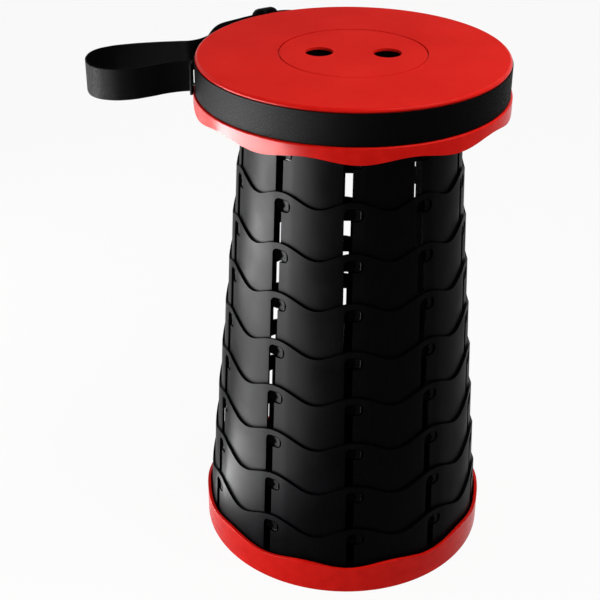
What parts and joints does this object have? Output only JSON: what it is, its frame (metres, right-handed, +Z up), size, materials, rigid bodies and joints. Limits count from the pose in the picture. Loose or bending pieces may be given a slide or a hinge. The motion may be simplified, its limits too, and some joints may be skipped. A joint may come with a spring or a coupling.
{
  "type": "collapsible telescopic stool",
  "caption": "Collapsible stool: a round seat with a webbing carry strap on a column of telescoping plastic rings that hook into each other and sink into a shallow base.",
  "frame": {"origin": "centre of the base's underside, on the floor", "axes": "+Z up the column's axis to the seat, -Y the front of the stool, -X the side of the carry loop"},
  "size_m": [0.3402, 0.2564, 0.4505],
  "materials": {
    "seat_red": "fine matt grain",
    "base_red": "semi gloss",
    "ring_black": "satin",
    "webbing_black": "woven, matt",
    "slider_black": "glossy",
    "screw_steel": "zinc plated"
  },
  "bodies": {
    "base": {"base_cup": "base_red", "ring_9": "ring_black", "base_screw_1": "screw_steel", "base_screw_2": "screw_steel", "base_screw_3": "screw_steel", "base_screw_4": "screw_steel", "base_screw_5": "screw_steel"},
    "ring_8": {"ring_8": "ring_black"},
    "ring_7": {"ring_7": "ring_black"},
    "ring_6": {"ring_6": "ring_black"},
    "ring_5": {"ring_5": "ring_black"},
    "ring_4": {"ring_4": "ring_black"},
    "ring_3": {"ring_3": "ring_black"},
    "ring_2": {"ring_2": "ring_black"},
    "ring_1": {"ring_1": "ring_black"},
    "seat": {"seat_shell": "seat_red", "centre_cap": "seat_red", "seat_collar": "ring_black", "rim_strap": "webbing_black", "carry_loop": "webbing_black", "strap_slider": "slider_black", "collar_screw_1": "screw_steel", "collar_screw_2": "screw_steel", "collar_screw_3": "screw_steel", "collar_screw_4": "screw_steel", "collar_screw_5": "screw_steel", "collar_screw_6": "screw_steel"}
  },
  "joints": [
    {"name": "ring_8_slide", "type": "slide", "parent": "base", "child": "ring_8", "axis": [0, 0, 1], "range_m": [-0.0424, 0]},
    {"name": "ring_7_slide", "type": "slide", "parent": "ring_8", "child": "ring_7", "axis": [0, 0, 1], "range_m": [-0.0424, 0]},
    {"name": "ring_6_slide", "type": "slide", "parent": "ring_7", "child": "ring_6", "axis": [0, 0, 1], "range_m": [-0.0424, 0]},
    {"name": "ring_5_slide", "type": "slide", "parent": "ring_6", "child": "ring_5", "axis": [0, 0, 1], "range_m": [-0.0424, 0]},
    {"name": "ring_4_slide", "type": "slide", "parent": "ring_5", "child": "ring_4", "axis": [0, 0, 1], "range_m": [-0.0424, 0]},
    {"name": "ring_3_slide", "type": "slide", "parent": "ring_4", "child": "ring_3", "axis": [0, 0, 1], "range_m": [-0.0424, 0]},
    {"name": "ring_2_slide", "type": "slide", "parent": "ring_3", "child": "ring_2", "axis": [0, 0, 1], "range_m": [-0.0424, 0]},
    {"name": "ring_1_slide", "type": "slide", "parent": "ring_2", "child": "ring_1", "axis": [0, 0, 1], "range_m": [-0.0424, 0]},
    {"name": "seat_slide", "type": "slide", "parent": "ring_1", "child": "seat", "axis": [0, 0, 1], "range_m": [-0.0424, 0]}
  ]
}
